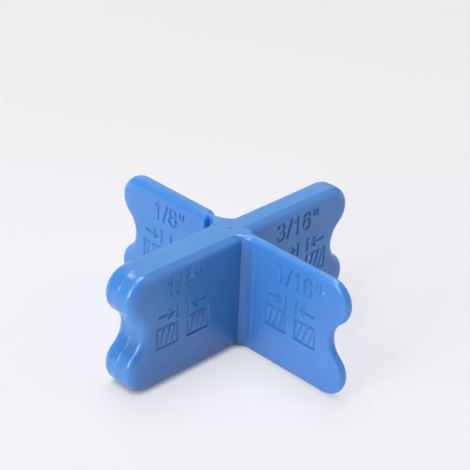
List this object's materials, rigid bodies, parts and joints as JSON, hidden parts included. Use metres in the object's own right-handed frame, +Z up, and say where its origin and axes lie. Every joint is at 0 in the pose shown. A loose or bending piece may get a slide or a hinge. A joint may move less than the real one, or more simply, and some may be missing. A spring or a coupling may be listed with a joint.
{
  "type": "decking spacer",
  "caption": "Cross-shaped moulded spacer whose wings each set a different gap between deck boards.",
  "frame": {"origin": "on the hub's axis, in the plane that the spacer stands on", "axes": "+Z up along the hub, +X along the 1/16 inch wing, +Y along the 3/16 inch wing, -X along the 1/8 inch wing, -Y along the 1/4 inch wing"},
  "size_m": [0.049, 0.048, 0.02],
  "materials": {
    "spacer": "satin blue polypropylene"
  },
  "bodies": {
    "root": {"spacer": "spacer"}
  },
  "joints": []
}
